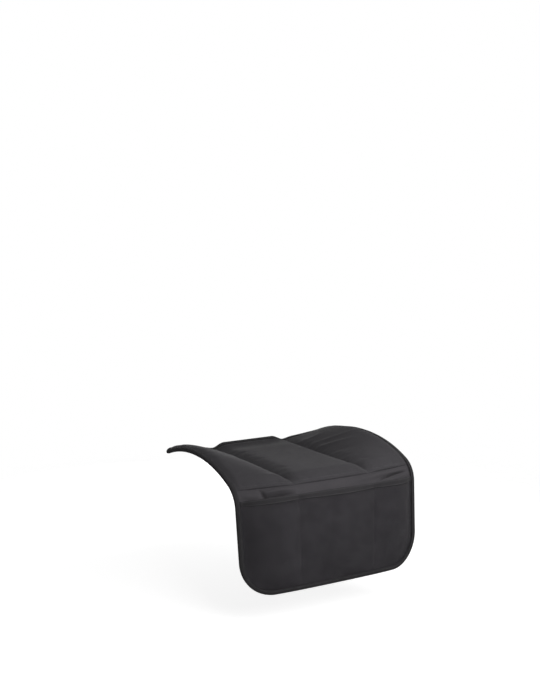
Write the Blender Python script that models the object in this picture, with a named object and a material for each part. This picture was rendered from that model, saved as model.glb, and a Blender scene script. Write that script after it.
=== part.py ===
"""Car seat protector mat, as it lies over the cushion of a car seat.

The mat is a padded seat panel with two sewn channels, a non-slip cloth under it, and a cloth
flap that hangs over the front of the seat. One fine net on the flap makes three pockets, and
one tape binds the whole outer edge.

Units are metres. +X runs across the seat, -Y to its front and +Z up. The origin is the middle
of the flat patch of the underside, where the mat lies on the cushion.

Every cloth layer is worked out on one flat pattern, with x across the mat and s the length of
cloth from the rear edge. The function form() drapes that pattern over the seat.
"""

import math

import bpy
import numpy as np

# Outer size of the flat pattern
MAT_WIDTH = 0.460
PANEL_LENGTH = 0.340
FLAP_LENGTH = 0.230
REAR_CORNER_RADIUS = 0.025
BOTTOM_CORNER_RADIUS = 0.077

# Drape over the seat, seen from the side: humped side edges, a level middle
REAR_RISE = math.radians(22.9)
FRONT_FALL = math.radians(27.0)
FLAP_ANGLE = math.radians(85.0)
BEND_LEAD = 0.015
BEND_LENGTH = 0.055
MIDDLE_DEPTH = 0.015
MIDDLE_REACH = 0.010
REAR_CURL = 0.011
CURL_LENGTH = 0.064
CURL_NOTCH = 0.030
CURL_OUTSIDE = 0.35

# Drape across the seat, and seen from above
ROLL_WIDTH = 0.021
ROLL_ANGLE = math.radians(46.0)
SEAM_BOW = 0.018
BOTTOM_BOW = 0.005
BOW_GROWTH = 2.4
FLAP_TAPER = 0.006

# Padding and sewn channels
PAD_THICKNESS = 0.0095
PAD_EDGE_THICKNESS = 0.0018
FRONT_EDGE_SHARE = 0.35
CHANNEL_OFFSET = 0.096
CHANNEL_REACH = 0.042
CHANNEL_SPREAD = 0.030
EDGE_SWELL = 0.014
FRONT_SWELL = 0.020

# Cloths
BACKING_THICKNESS = 0.0012
FLAP_THICKNESS = 0.0012
NET_THICKNESS = 0.0008
LAYER_GAP = 0.0003
SEAM_TUCK = 0.008

# Pockets
POCKET_TOP_DROP = 0.026
MOUTH_STAND_OFF = 0.013
POCKET_FULLNESS = 0.0085
POCKET_CORNER_EASE = 0.030
HEM_HEIGHT = 0.010
HEM_WALL = 0.0006
HEM_GAP = 0.00045
HEM_EASE = 0.012
HEM_END_STEP = 0.004

# Edge binding
BINDING_WIDTH = 0.010
BINDING_WALL = 0.00095
BINDING_CLEARANCE = 0.0008
BINDING_ROUNDING = 0.0016

# Fineness of the surfaces
CHANNEL_STEPS = (0.008, 0.021, 0.036, 0.050)
OUTER_CELLS = 5
LIP_CLEARANCE = 0.001
REAR_LIP_CELLS = 2
REAR_CORNER_CELLS = 4
BOTTOM_CORNER_CELLS = 7
PANEL_CELLS = 12
FRONT_CELLS = 4
BEND_CELLS = 6
MOUTH_CELLS = 3
FLAP_CELLS = 4
NET_CELLS = 5
NORMAL_STEP = 0.00025

# Values that follow from the sizes above
HALF_WIDTH = MAT_WIDTH / 2
MAT_LENGTH = PANEL_LENGTH + FLAP_LENGTH
BEND_START = PANEL_LENGTH - BEND_LEAD
BEND_END = BEND_START + BEND_LENGTH
HUMP_RADIUS = BEND_START / (REAR_RISE + FRONT_FALL)
BEND_RADIUS = BEND_LENGTH / (FLAP_ANGLE - FRONT_FALL)
HALF_GAP = LAYER_GAP / 2
ROLL_START = HALF_WIDTH - ROLL_WIDTH
ROLL_RADIUS = ROLL_WIDTH / ROLL_ANGLE
POCKET_TOP = PANEL_LENGTH + POCKET_TOP_DROP
LAYER_INSET = BINDING_WALL + LAYER_GAP
LIP_STEP = BINDING_WIDTH + LIP_CLEARANCE - LAYER_INSET
BINDING_TOP = HALF_GAP + PAD_EDGE_THICKNESS + BINDING_CLEARANCE
BINDING_BOTTOM = -(HALF_GAP + max(BACKING_THICKNESS, FLAP_THICKNESS) + BINDING_CLEARANCE)

COVER_COLOUR = (0.060, 0.058, 0.065)
BACKING_COLOUR = (0.024, 0.024, 0.025)
FLAP_COLOUR = (0.042, 0.040, 0.043)
NET_COLOUR = (0.018, 0.017, 0.019)
BINDING_COLOUR = (0.030, 0.029, 0.031)


def smooth(t):
    """Ease from 0 to 1 with level ends."""
    t = np.clip(t, 0.0, 1.0)
    return t * t * (3.0 - 2.0 * t)


def swell(t):
    """Rise from 0 to 1, steep at the start and level at the end, as stuffed cloth does."""
    t = np.clip(t, 0.0, 1.0)
    return 1.0 - (1.0 - t) ** 2


def fall(s, radius, start_angle):
    """Tight arc over the front of the cushion, then the straight fall of the flap."""
    on_bend = np.clip(s - BEND_START, 0.0, BEND_LENGTH)
    on_fall = np.clip(s - BEND_END, 0.0, None)
    angle = on_bend / radius + start_angle
    y = -radius * (np.sin(angle) - math.sin(start_angle)) - math.cos(FLAP_ANGLE) * on_fall
    z = radius * (np.cos(angle) - math.cos(start_angle)) - math.sin(FLAP_ANGLE) * on_fall
    return y, z


def side_line(s):
    """Side edge of the draped mat: a long arc over the bolster, then the fall.

    Returns y and z, from the rear end of the edge, for each cloth length s.
    """
    hump = np.clip(s, 0.0, BEND_START) / HUMP_RADIUS - REAR_RISE
    y, z = fall(s, BEND_RADIUS, FRONT_FALL)
    y = y - HUMP_RADIUS * (np.sin(hump) + math.sin(REAR_RISE))
    z = z + HUMP_RADIUS * (np.cos(hump) - math.cos(REAR_RISE))
    return y, z


def middle_line(s):
    """Middle of the draped mat: level over the cushion, from behind the corners, then the fall."""
    y, z = fall(s, BEND_LENGTH / FLAP_ANGLE, 0.0)
    level = np.clip(s, 0.0, BEND_START) / BEND_START
    return y + MIDDLE_REACH - (BEND_START + MIDDLE_REACH) * level, z - MIDDLE_DEPTH


def front_bow(s):
    """How far the middle is pushed ahead of the side edges, for each cloth length s."""
    along_panel = np.clip(s / PANEL_LENGTH, 0.0, 1.0)
    along_flap = np.clip((s - PANEL_LENGTH) / FLAP_LENGTH, 0.0, 1.0)
    panel_bow = SEAM_BOW * np.sin(math.pi / 2 * along_panel**BOW_GROWTH)
    return panel_bow - (SEAM_BOW - BOTTOM_BOW) * along_flap


def side_roll(side, s):
    """How far across and down the cloth lies that rolls over the outer side of the seat.

    The roll is full at the rear edge and gone at the front seam.
    """
    fade = 1.0 - smooth(s / PANEL_LENGTH)
    rolled = np.clip(side - ROLL_START, 0.0, None)
    angle = rolled / ROLL_RADIUS * fade
    bend = np.maximum(angle, 1e-9)
    across = side - rolled + rolled * np.sin(bend) / bend
    return across, rolled * (1.0 - np.cos(bend)) / bend


def form(x, s):
    """The surface between the upper and the lower cloths, before it is moved to the origin.

    It turns from the middle line to the side line between channel and side edge, and the side
    edges roll down. The rear edge curls up, but not at the channels and less outside them, and
    the flap narrows downwards.
    """
    side = np.abs(x)
    side_y, side_z = side_line(s)
    middle_y, middle_z = middle_line(s)
    turn = smooth((side - CHANNEL_OFFSET) / (HALF_WIDTH - CHANNEL_OFFSET))
    bow = front_bow(s) * (1.0 - (x / HALF_WIDTH) ** 2)
    taper = FLAP_TAPER / HALF_WIDTH * np.clip((s - PANEL_LENGTH) / FLAP_LENGTH, 0.0, 1.0)
    y = middle_y + (side_y - middle_y) * turn - bow
    share = np.where(side < CHANNEL_OFFSET, 1.0, CURL_OUTSIDE * (1.0 - turn))
    raised = smooth(np.abs(side - CHANNEL_OFFSET) / CURL_NOTCH) * share
    curl = REAR_CURL * np.clip(1.0 - s / CURL_LENGTH, 0.0, 1.0) ** 2 * raised
    across, sunk = side_roll(side, s)
    z = middle_z + (side_z - middle_z) * turn + curl - sunk
    return np.stack([np.sign(x) * across * (1.0 - taper), y, z], axis=-1)


def origin():
    """The point of the mat's frame that is its origin: under the middle of the panel."""
    place = form(np.array(0.0), np.array(PANEL_LENGTH / 2))
    place[2] -= HALF_GAP + BACKING_THICKNESS
    return place


def normal(x, s):
    """Unit normal of form(), up on the seat and forward on the flap."""
    across = form(x + NORMAL_STEP, s) - form(x - NORMAL_STEP, s)
    along = form(x, s + NORMAL_STEP) - form(x, s - NORMAL_STEP)
    n = np.cross(along, across)
    return n / np.linalg.norm(n, axis=-1, keepdims=True)


def lay(x, s, height):
    """Points that stand the given height off the draped surface, in the mat's own frame."""
    return form(x, s) + normal(x, s) * np.asarray(height)[..., None] - origin()


def edge_distance(x, s):
    """Distance from the flat pattern's outline, a rectangle with round corners."""
    from_side = HALF_WIDTH - np.abs(x)
    distance = np.minimum(from_side, np.minimum(s, MAT_LENGTH - s))
    for radius, from_end in ((REAR_CORNER_RADIUS, s), (BOTTOM_CORNER_RADIUS, MAT_LENGTH - s)):
        in_corner = (from_side < radius) & (from_end < radius)
        to_arc = radius - np.hypot(radius - from_side, radius - from_end)
        distance = np.where(in_corner, to_arc, distance)
    return distance


def half_width_at(s, inset):
    """Half the pattern's width at s, drawn in by inset, with its round corners."""
    half = HALF_WIDTH - inset
    for radius, from_end in ((REAR_CORNER_RADIUS, s), (BOTTOM_CORNER_RADIUS, MAT_LENGTH - s)):
        arc = radius - inset
        rest = np.clip(radius - from_end, 0.0, arc)
        half = half - arc + np.sqrt(arc**2 - rest**2)
    return half


def columns(half_width):
    """Places across one row, close together at the channels, with one at the binding's lip."""
    near, wide, far, outer = CHANNEL_STEPS
    c = CHANNEL_OFFSET
    inner = np.array([0.0, (c - wide) / 2, c - wide, c - near, c, c + near, c + wide, c + far])
    outside = np.linspace(c + outer, half_width - LIP_STEP, OUTER_CELLS + 1)
    half = np.concatenate([inner, outside, [half_width]])
    return np.concatenate([-half[:0:-1], half])


def rear_turns():
    """Angles of the rows in a rear corner, with one row at the binding's lip."""
    to_lip = LIP_STEP / (REAR_CORNER_RADIUS - LAYER_INSET)
    at_lip = math.acos(1.0 - min(1.0, to_lip))
    before = np.linspace(0.0, at_lip, REAR_LIP_CELLS + 1)
    after = np.linspace(at_lip, math.pi / 2, REAR_CORNER_CELLS - REAR_LIP_CELLS + 1)
    return np.concatenate([before, after[1:]])


def panel_rows(inset):
    """Cloth lengths of the rows from the rear edge to the front seam."""
    radius = REAR_CORNER_RADIUS - inset
    corner = inset + radius * (1.0 - np.cos(rear_turns()))
    body = np.linspace(REAR_CORNER_RADIUS, BEND_START, PANEL_CELLS + 1)
    front = np.linspace(BEND_START, PANEL_LENGTH, FRONT_CELLS + 1)
    return np.concatenate([corner, body[1:], front[1:]])


def flap_rows(start, inset, bend_cells, fall_cells):
    """Cloth lengths of the rows from start, near the front seam, to the bottom edge."""
    bend = np.linspace(start, BEND_END, bend_cells + 1)
    straight = np.linspace(BEND_END, MAT_LENGTH - BOTTOM_CORNER_RADIUS, fall_cells + 1)
    turn = np.linspace(0.0, math.pi / 2, BOTTOM_CORNER_CELLS + 1)
    radius = BOTTOM_CORNER_RADIUS - inset
    corner = MAT_LENGTH - BOTTOM_CORNER_RADIUS + radius * np.sin(turn)
    return np.concatenate([bend, straight[1:], corner[1:]])


def pattern(rows, inset):
    """Flat x and s of every point of a cloth with the given rows."""
    x = np.array([columns(half_width_at(s, inset)) for s in rows])
    s = np.broadcast_to(rows[:, None], x.shape).copy()
    return x, s


def pad_height(x, s):
    """Height of the padded panel's top: full between the seams, thin along them."""
    sides = smooth((edge_distance(x, s) - BINDING_WIDTH) / EDGE_SWELL)
    reach = CHANNEL_REACH + CHANNEL_SPREAD * s / PANEL_LENGTH
    channels = swell(np.abs(np.abs(x) - CHANNEL_OFFSET) / reach)
    front = FRONT_EDGE_SHARE + (1.0 - FRONT_EDGE_SHARE) * swell((PANEL_LENGTH - s) / FRONT_SWELL)
    full = PAD_THICKNESS - PAD_EDGE_THICKNESS
    return HALF_GAP + PAD_EDGE_THICKNESS + full * sides * channels * front


def net_height(x, s):
    """Height of the net's back face: sewn down at the dividers, full between them."""
    side = np.abs(x)
    outer_edge = HALF_WIDTH - BINDING_WIDTH
    in_outer = np.clip((side - CHANNEL_OFFSET) / (outer_edge - CHANNEL_OFFSET), 0.0, 1.0)
    outer_arch = 4.0 * in_outer * (1.0 - in_outer)
    middle_arch = 1.0 - np.clip(side / CHANNEL_OFFSET, 0.0, 1.0) ** 2
    arch = np.where(side < CHANNEL_OFFSET, middle_arch, outer_arch)
    drop = (s - POCKET_TOP) / (MAT_LENGTH - BINDING_WIDTH - POCKET_TOP)
    drop = np.clip(drop, 0.0, 1.0)
    depth = (1.0 - drop) * (MOUTH_STAND_OFF + 4.0 * POCKET_FULLNESS * drop)
    corner = swell((edge_distance(x, s) - BINDING_WIDTH) / POCKET_CORNER_EASE)
    under_hem = 1.0 - smooth((s - POCKET_TOP - HEM_HEIGHT) / HEM_EASE)
    sewn = HALF_GAP + (HEM_WALL + HEM_GAP) * under_hem
    return sewn + depth * arch * corner


def add_solid(name, points, faces, material):
    """Make one closed object from its points and faces."""
    mesh = bpy.data.meshes.new(name)
    mesh.from_pydata(points.reshape(-1, 3).tolist(), [], faces)
    mesh.materials.append(material)
    mesh.shade_smooth()
    mesh.set_sharp_from_angle(angle=math.radians(40.0))
    mesh.update()
    obj = bpy.data.objects.new(name, mesh)
    bpy.context.scene.collection.objects.link(obj)
    return obj


def split(a, b, c, d):
    """Two triangles for a four-sided cell, parted from its first corner to its third."""
    return [(a, b, c), (a, c, d)]


def add_cloth(name, x, s, low, high, material, mirrored=False):
    """Make a closed cloth between two heights over the same flat pattern.

    Where it is mirrored, the diagonals of its cells mirror each other in the two halves.
    """
    rows, cols = x.shape
    points = np.stack([lay(x, s, low), lay(x, s, high)])
    index = np.arange(2 * rows * cols).reshape(2, rows, cols)
    faces = []
    for r in range(rows - 1):
        for c in range(cols - 1):
            under = [index[0, r, c], index[0, r, c + 1], index[0, r + 1, c + 1], index[0, r + 1, c]]
            over = [index[1, r, c], index[1, r, c + 1], index[1, r + 1, c + 1], index[1, r + 1, c]]
            if mirrored and c >= cols // 2:
                under, over = under[1:] + under[:1], over[1:] + over[:1]
            for tri in split(*under):
                faces.append(tri)
            for tri in split(*over):
                faces.append(tri[::-1])
    border = [(0, c) for c in range(cols)]
    border += [(r, cols - 1) for r in range(1, rows)]
    border += [(rows - 1, c) for c in range(cols - 2, -1, -1)]
    border += [(r, 0) for r in range(rows - 2, 0, -1)]
    for here, there in zip(border, border[1:] + border[:1]):
        low_a, low_b = index[(0, *here)], index[(0, *there)]
        high_a, high_b = index[(1, *here)], index[(1, *there)]
        faces += split(low_b, low_a, high_a, high_b)
    return add_solid(name, points, [tuple(int(i) for i in f) for f in faces], material)


def add_section_sweep(name, sections, closed, material):
    """Make a solid from section outlines that follow each other, closed or with two caps."""
    count, size = sections.shape[:2]
    faces = []
    for k in range(count if closed else count - 1):
        here, there = k * size, (k + 1) % count * size
        for p in range(size):
            q = (p + 1) % size
            faces += split(here + p, here + q, there + q, there + p)
    if not closed:
        faces.append(tuple(range(size - 1, -1, -1)))
        faces.append(tuple(range((count - 1) * size, count * size)))
    return add_solid(name, sections, faces, material)


def cloth_material(name, colour, roughness):
    """Matt cloth of one colour."""
    material = bpy.data.materials.new(name)
    material.use_nodes = True
    shader = material.node_tree.nodes["Principled BSDF"]
    shader.inputs["Base Color"].default_value = (*colour, 1.0)
    shader.inputs["Roughness"].default_value = roughness
    shader.inputs["Metallic"].default_value = 0.0
    return material


def make_seat_panel():
    """Padded panel, sewn through along two channels, with a thin margin under the binding."""
    x, s = pattern(panel_rows(LAYER_INSET), LAYER_INSET)
    material = cloth_material("cover_cloth", COVER_COLOUR, 0.75)
    low = np.full(x.shape, HALF_GAP)
    return add_cloth("seat_panel", x, s, low, pad_height(x, s), material, mirrored=True)


def make_backing():
    """Non-slip cloth under the padded panel, ending where the flap is tucked in."""
    rows = panel_rows(LAYER_INSET)
    last = PANEL_LENGTH - SEAM_TUCK - LAYER_GAP
    rows = np.append(rows[rows < last - LAYER_GAP], last)
    x, s = pattern(rows, LAYER_INSET)
    top = np.full(x.shape, -HALF_GAP)
    material = cloth_material("non_slip_cloth", BACKING_COLOUR, 0.85)
    low = top - BACKING_THICKNESS
    return add_cloth("anti_slip_backing", x, s, low, top, material, mirrored=True)


def make_flap():
    """Cloth flap, tucked under the panel at the front seam."""
    rows = flap_rows(PANEL_LENGTH - SEAM_TUCK, LAYER_INSET, BEND_CELLS, FLAP_CELLS)
    x, s = pattern(rows, LAYER_INSET)
    top = np.full(x.shape, -HALF_GAP)
    material = cloth_material("flap_cloth", FLAP_COLOUR, 0.8)
    return add_cloth("front_flap", x, s, top - FLAP_THICKNESS, top, material)


def make_net():
    """One net over the flap, sewn down in two lines that carry on from the channels."""
    start = POCKET_TOP + HEM_WALL + HEM_GAP
    x, s = pattern(flap_rows(start, LAYER_INSET, MOUTH_CELLS, NET_CELLS), LAYER_INSET)
    back = net_height(x, s)
    material = cloth_material("pocket_mesh", NET_COLOUR, 0.8)
    return add_cloth("pocket_net", x, s, back, back + NET_THICKNESS, material)


def make_hem():
    """Elastic tape folded over the net's top edge, from binding to binding."""
    end = HALF_WIDTH - BINDING_WIDTH - LAYER_GAP
    x = columns(HALF_WIDTH - LAYER_INSET)
    x = np.concatenate([[-end], x[np.abs(x) < end - HEM_END_STEP], [end]])
    fold = HEM_WALL
    half = HEM_HEIGHT / 2
    reach = HEM_HEIGHT
    inner_back = -HEM_GAP
    inner_front = NET_THICKNESS + HEM_GAP
    outline = (
        (reach, inner_back - HEM_WALL),
        (half, inner_back - HEM_WALL),
        (0.0, inner_back - HEM_WALL),
        (0.0, inner_front + HEM_WALL),
        (half, inner_front + HEM_WALL),
        (reach, inner_front + HEM_WALL),
        (reach, inner_front),
        (half, inner_front),
        (fold, inner_front),
        (fold, inner_back),
        (half, inner_back),
        (reach, inner_back),
    )
    sections = []
    for down, off in outline:
        s = np.full(x.shape, POCKET_TOP + down)
        sections.append(lay(x, s, net_height(x, s) + off))
    sections = np.stack(sections, axis=1)
    material = cloth_material("hem_tape", BINDING_COLOUR, 0.7)
    return add_section_sweep("pocket_hem", sections, False, material)


def binding_path():
    """The pattern's outline, once round, with the inward direction at each point."""
    path = []
    rear = columns(HALF_WIDTH - REAR_CORNER_RADIUS)
    bottom = columns(HALF_WIDTH - BOTTOM_CORNER_RADIUS)
    sides = list(panel_rows(0.0)[REAR_CORNER_CELLS:])
    below = flap_rows(PANEL_LENGTH, 0.0, BEND_CELLS, FLAP_CELLS)
    sides += list(below[1 : BEND_CELLS + FLAP_CELLS + 1])
    for x in rear:
        path.append((x, 0.0, 0.0, 1.0))
    path += corner_path(1.0, REAR_CORNER_RADIUS, False)
    for s in sides:
        path.append((HALF_WIDTH, s, -1.0, 0.0))
    path += corner_path(1.0, BOTTOM_CORNER_RADIUS, True)
    for x in bottom[::-1]:
        path.append((x, MAT_LENGTH, 0.0, -1.0))
    path += corner_path(-1.0, BOTTOM_CORNER_RADIUS, True)[::-1]
    for s in sides[::-1]:
        path.append((-HALF_WIDTH, s, 1.0, 0.0))
    path += corner_path(-1.0, REAR_CORNER_RADIUS, False)[::-1]
    return np.array(path)


def corner_path(hand, radius, at_bottom):
    """Points inside one round corner, from the rear edge or the side towards the other."""
    turns = np.linspace(0.0, math.pi / 2, BOTTOM_CORNER_CELLS + 1) if at_bottom else rear_turns()
    points = []
    for turn in turns[1:-1]:
        if at_bottom:
            out_x, out_s = math.cos(turn), math.sin(turn)
            middle_s = MAT_LENGTH - radius
        else:
            out_x, out_s = math.sin(turn), -math.cos(turn)
            middle_s = radius
        x = hand * (HALF_WIDTH - radius + radius * out_x)
        points.append((x, middle_s + radius * out_s, -hand * out_x, -out_s))
    return points


def make_binding():
    """Tape folded round the whole outer edge: a U section with a rounded fold."""
    top, bottom = BINDING_TOP, BINDING_BOTTOM
    wall = BINDING_WALL
    outline = (
        (wall, top),
        (wall, bottom),
        (BINDING_WIDTH, bottom),
        (BINDING_WIDTH, bottom - wall),
        (BINDING_ROUNDING, bottom - wall),
        (0.0, bottom - wall + BINDING_ROUNDING),
        (0.0, top + wall - BINDING_ROUNDING),
        (BINDING_ROUNDING, top + wall),
        (BINDING_WIDTH, top + wall),
        (BINDING_WIDTH, top),
    )
    path = binding_path()
    sections = []
    for inward, off in outline:
        x = path[:, 0] + inward * path[:, 2]
        s = path[:, 1] + inward * path[:, 3]
        sections.append(lay(x, s, np.full(x.shape, off)))
    sections = np.stack(sections, axis=1)
    material = cloth_material("binding_tape", BINDING_COLOUR, 0.65)
    return add_section_sweep("edge_binding", sections, True, material)


def main():
    """Build the mat's six pieces."""
    for obj in list(bpy.data.objects):
        bpy.data.objects.remove(obj, do_unlink=True)
    make_seat_panel()
    make_backing()
    make_flap()
    make_net()
    make_hem()
    make_binding()


main()
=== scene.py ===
"""Car seat protector mat in its draped shape: the dressed model.

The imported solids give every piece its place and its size. This script works each piece out
again as a fine surface on the same flat pattern, sews and wrinkles it, and gives it its cloth.

Flat pattern: x runs across the mat, and s is the length of cloth from the rear edge. The class
Drape gives that pattern its shape in use. Units are metres, +X across the mat, -Y to its front.
"""

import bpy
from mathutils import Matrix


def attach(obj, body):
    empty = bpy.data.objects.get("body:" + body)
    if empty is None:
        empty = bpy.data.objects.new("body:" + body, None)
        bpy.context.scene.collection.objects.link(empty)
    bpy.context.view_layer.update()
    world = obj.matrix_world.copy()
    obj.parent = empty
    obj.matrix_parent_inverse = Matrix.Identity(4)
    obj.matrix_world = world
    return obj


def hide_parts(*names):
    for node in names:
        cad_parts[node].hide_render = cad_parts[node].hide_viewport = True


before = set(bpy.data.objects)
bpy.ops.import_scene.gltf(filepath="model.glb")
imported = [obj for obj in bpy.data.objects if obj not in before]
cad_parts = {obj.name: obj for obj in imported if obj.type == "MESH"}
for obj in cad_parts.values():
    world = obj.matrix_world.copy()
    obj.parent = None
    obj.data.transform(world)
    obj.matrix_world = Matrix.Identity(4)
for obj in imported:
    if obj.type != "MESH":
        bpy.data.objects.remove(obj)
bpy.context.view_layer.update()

import logging
import math
from dataclasses import dataclass, field
from enum import Enum
from typing import Sequence

import bpy
import numpy as np
from mathutils import Vector

Array = np.ndarray
Piece = bpy.types.Object
Cloth = bpy.types.Material
Node = bpy.types.Node
Socket = bpy.types.NodeSocket
Tree = bpy.types.NodeTree
Triple = tuple[float, float, float]

LOG = logging.getLogger("mat")
BODY = "root"
CLOTH_MAP = "cloth"
QUARTER = math.pi / 2


# Shape functions


def smooth(t: Array) -> Array:
    """Ease from 0 to 1 with level ends: t² (3 - 2t)."""
    t = np.clip(t, 0.0, 1.0)
    return t * t * (3.0 - 2.0 * t)


def swell(t: Array) -> Array:
    """Rise from 0 to 1 as stuffed cloth does, steep and then level: 1 - (1 - t)²."""
    return 1.0 - (1.0 - np.clip(t, 0.0, 1.0)) ** 2


def ripple(u: Array, v: Array, seed: int, waves: int = 7) -> Array:
    """Soft uneven noise, about -1 to 1.

    It is the sum of cos(a u + b v + c) over a few waves with their own a, b and c, over √waves.

    Args:
        u: First coordinate, in wave lengths.
        v: Second coordinate, in wave lengths.
        seed: Start of the random draw.
        waves: Number of waves.

    Returns:
        The noise at each point.
    """
    draw = np.random.default_rng(seed)
    total = np.zeros(np.broadcast(u, v).shape)
    for _ in range(waves):
        angle, phase = draw.uniform(0.0, 2.0 * math.pi, 2)
        pitch = 2.0 * math.pi * draw.uniform(0.6, 1.5)
        total += np.cos(pitch * (u * math.cos(angle) + v * math.sin(angle)) + phase)
    return total / math.sqrt(waves)


@dataclass(frozen=True)
class Fold:
    """One soft crease on the flat pattern, along a bowed line.

    Its height is h · e^(-(d/w)²), with d the distance from the line, and it fades to both ends.
    """

    start: tuple[float, float]
    end: tuple[float, float]
    height: float
    width: float
    bow: float = 0.0
    end_power: float = 0.7

    def at(self, x: Array, s: Array) -> Array:
        """Height of the crease.

        Args:
            x: Places across the mat.
            s: Cloth lengths.

        Returns:
            The height at each place.
        """
        dx, ds = self.end[0] - self.start[0], self.end[1] - self.start[1]
        length = math.hypot(dx, ds)
        along = ((x - self.start[0]) * dx + (s - self.start[1]) * ds) / length**2
        off = ((x - self.start[0]) * ds - (s - self.start[1]) * dx) / length
        off = off - self.bow * 4.0 * along * (1.0 - along)
        ends = np.sin(math.pi * np.clip(along, 0.0, 1.0)) ** self.end_power
        return self.height * np.exp(-((off / self.width) ** 2)) * ends


# Sizes and drape


@dataclass(frozen=True)
class Sizes:
    """Sizes of the flat pattern, its cloths and its pockets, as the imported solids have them."""

    width: float = 0.460
    panel_length: float = 0.340
    flap_length: float = 0.230
    rear_radius: float = 0.025
    bottom_radius: float = 0.077
    pad: float = 0.0095
    pad_edge: float = 0.0018
    channel: float = 0.096
    channel_reach: float = 0.042
    channel_spread: float = 0.030
    backing: float = 0.0012
    flap: float = 0.0012
    gap: float = 0.0003
    tuck: float = 0.008
    pocket_drop: float = 0.026
    mouth: float = 0.013
    fullness: float = 0.0085
    corner_ease: float = 0.030
    net_spare: float = 0.012
    hem: float = 0.010
    hem_sag: float = 0.003
    binding: float = 0.010
    binding_wall: float = 0.00095
    binding_clear: float = 0.0008

    @property
    def half(self) -> float:
        """Half the mat's width."""
        return self.width / 2

    @property
    def length(self) -> float:
        """Cloth length from the rear edge to the bottom edge."""
        return self.panel_length + self.flap_length

    @property
    def inset(self) -> float:
        """How far the cloths end inside the binding's fold."""
        return self.binding_wall + self.gap

    @property
    def pocket_top(self) -> float:
        """Cloth length at the pockets' top edge."""
        return self.panel_length + self.pocket_drop

    @property
    def corners(self) -> tuple[tuple[float, float, float], ...]:
        """Radius of each pair of round corners, the end's cloth length, and its direction."""
        return (self.rear_radius, 0.0, 1.0), (self.bottom_radius, self.length, -1.0)


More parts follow.
